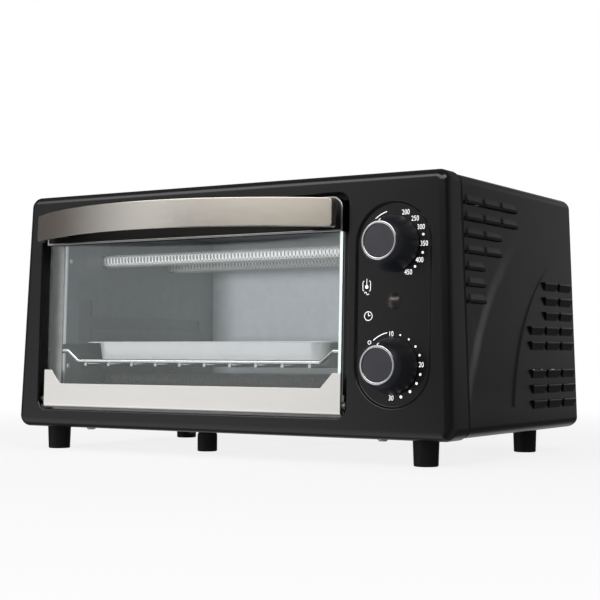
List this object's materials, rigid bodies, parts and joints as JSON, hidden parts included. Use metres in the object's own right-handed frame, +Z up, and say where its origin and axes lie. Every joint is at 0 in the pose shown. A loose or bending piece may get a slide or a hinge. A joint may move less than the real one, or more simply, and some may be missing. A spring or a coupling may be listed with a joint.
{
  "type": "toaster oven",
  "caption": "Compact countertop toaster oven with a drop-down glass door, bowed handle, turning control knobs, sliding rack, lift-out tray and a crumb door underneath.",
  "frame": {"origin": "on the table under the middle of the oven's overall box", "axes": "+X to the right seen from the front, +Y to the back, +Z up; the door and knobs face -Y"},
  "size_m": [0.3604, 0.264, 0.1873],
  "materials": {
    "black_body": "satin black",
    "black_plastic": "matt black",
    "knob_gloss": "gloss black",
    "knob_matt": "matt dark grey",
    "lead_sleeve": "braided grey sleeve",
    "bright_trim": "bright plated",
    "handle_steel": "brushed",
    "plated_steel": "zinc plated",
    "aluminised_steel": "dull aluminised sheet",
    "ceramic": "fired white ceramic",
    "quartz": "frosted quartz",
    "door_glass": "clear tempered",
    "lamp_amber": "tinted lens"
  },
  "bodies": {
    "chassis": {"front_frame": "black_body", "outer_shell": "black_body", "rear_panel": "black_body", "base_plate": "aluminised_steel", "cord_bushing": "black_plastic", "rear_screws": "plated_steel", "underside_screws": "plated_steel", "cavity_front_flange": "aluminised_steel", "cavity_left_wall": "aluminised_steel", "cavity_right_wall": "aluminised_steel", "cavity_roof": "aluminised_steel", "cavity_back_wall": "aluminised_steel", "cavity_rivets": "plated_steel", "heater_caps_left": "ceramic", "heater_caps_right": "ceramic", "control_plate": "plated_steel", "thermostat": "black_plastic", "timer": "plated_steel", "timer_bell": "plated_steel", "lamp_lens": "lamp_amber", "lamp_holder": "black_plastic", "hinge_bracket_left": "plated_steel", "hinge_bracket_right": "plated_steel", "heater_tube_upper_front": "quartz", "heater_tube_upper_rear": "quartz", "heater_tube_lower_front": "quartz", "heater_tube_lower_rear": "quartz", "heater_coil_upper_front": "plated_steel", "heater_coil_upper_rear": "plated_steel", "heater_coil_lower_front": "plated_steel", "heater_coil_lower_rear": "plated_steel", "foot_front_left": "black_plastic", "foot_front_right": "black_plastic", "foot_rear_left": "black_plastic", "foot_rear_right": "black_plastic", "control_leads": "lead_sleeve", "heater_jumpers": "lead_sleeve"},
    "door": {"door_glass": "door_glass", "door_top_rail": "handle_steel", "door_bottom_rail": "bright_trim", "door_handle": "handle_steel", "handle_posts": "black_plastic", "handle_screws": "plated_steel", "hinge_pin_left": "bright_trim", "hinge_pin_right": "bright_trim"},
    "rack": {"wire_rack": "bright_trim"},
    "tray": {"baking_tray": "aluminised_steel"},
    "temperature_control": {"temperature_knob": "knob_gloss", "temperature_knob_ring": "bright_trim", "temperature_knob_inlay": "knob_matt", "temperature_shaft": "plated_steel"},
    "timer_control": {"timer_knob": "knob_gloss", "timer_knob_ring": "bright_trim", "timer_knob_inlay": "knob_matt", "timer_shaft": "plated_steel"},
    "crumb_flap": {"crumb_door": "aluminised_steel", "crumb_hinge_pin": "plated_steel", "crumb_pull": "black_plastic", "crumb_stud": "black_plastic"}
  },
  "joints": [
    {"name": "door_hinge", "type": "hinge", "parent": "chassis", "child": "door", "pos_m": [0, -0.08002, 0.03686], "axis": [1, 0, 0], "range_deg": [0, 80]},
    {"name": "rack_slide", "type": "slide", "parent": "chassis", "child": "rack", "axis": [0, -1, 0], "range_m": [0, 0.0465]},
    {"name": "tray_lift", "type": "slide", "parent": "rack", "child": "tray", "axis": [0, 0, 1], "range_m": [0, 0.045]},
    {"name": "temperature_turn", "type": "hinge", "parent": "chassis", "child": "temperature_control", "pos_m": [0.1365, -0.08133, 0.141], "axis": [0, 0.9996, -0.0297], "range_deg": [-60, 215]},
    {"name": "timer_turn", "type": "hinge", "parent": "chassis", "child": "timer_control", "pos_m": [0.1365, -0.08363, 0.06333], "axis": [0, 0.9996, -0.0297], "range_deg": [-60, 195]},
    {"name": "crumb_hinge", "type": "hinge", "parent": "chassis", "child": "crumb_flap", "pos_m": [0, 0.10548, 0.016], "axis": [1, 0, 0], "range_deg": [0, 85]}
  ],
  "couplings": [
    {"joint": "rack_slide", "follows": "door_hinge", "m_per_rad": 0.033}
  ]
}
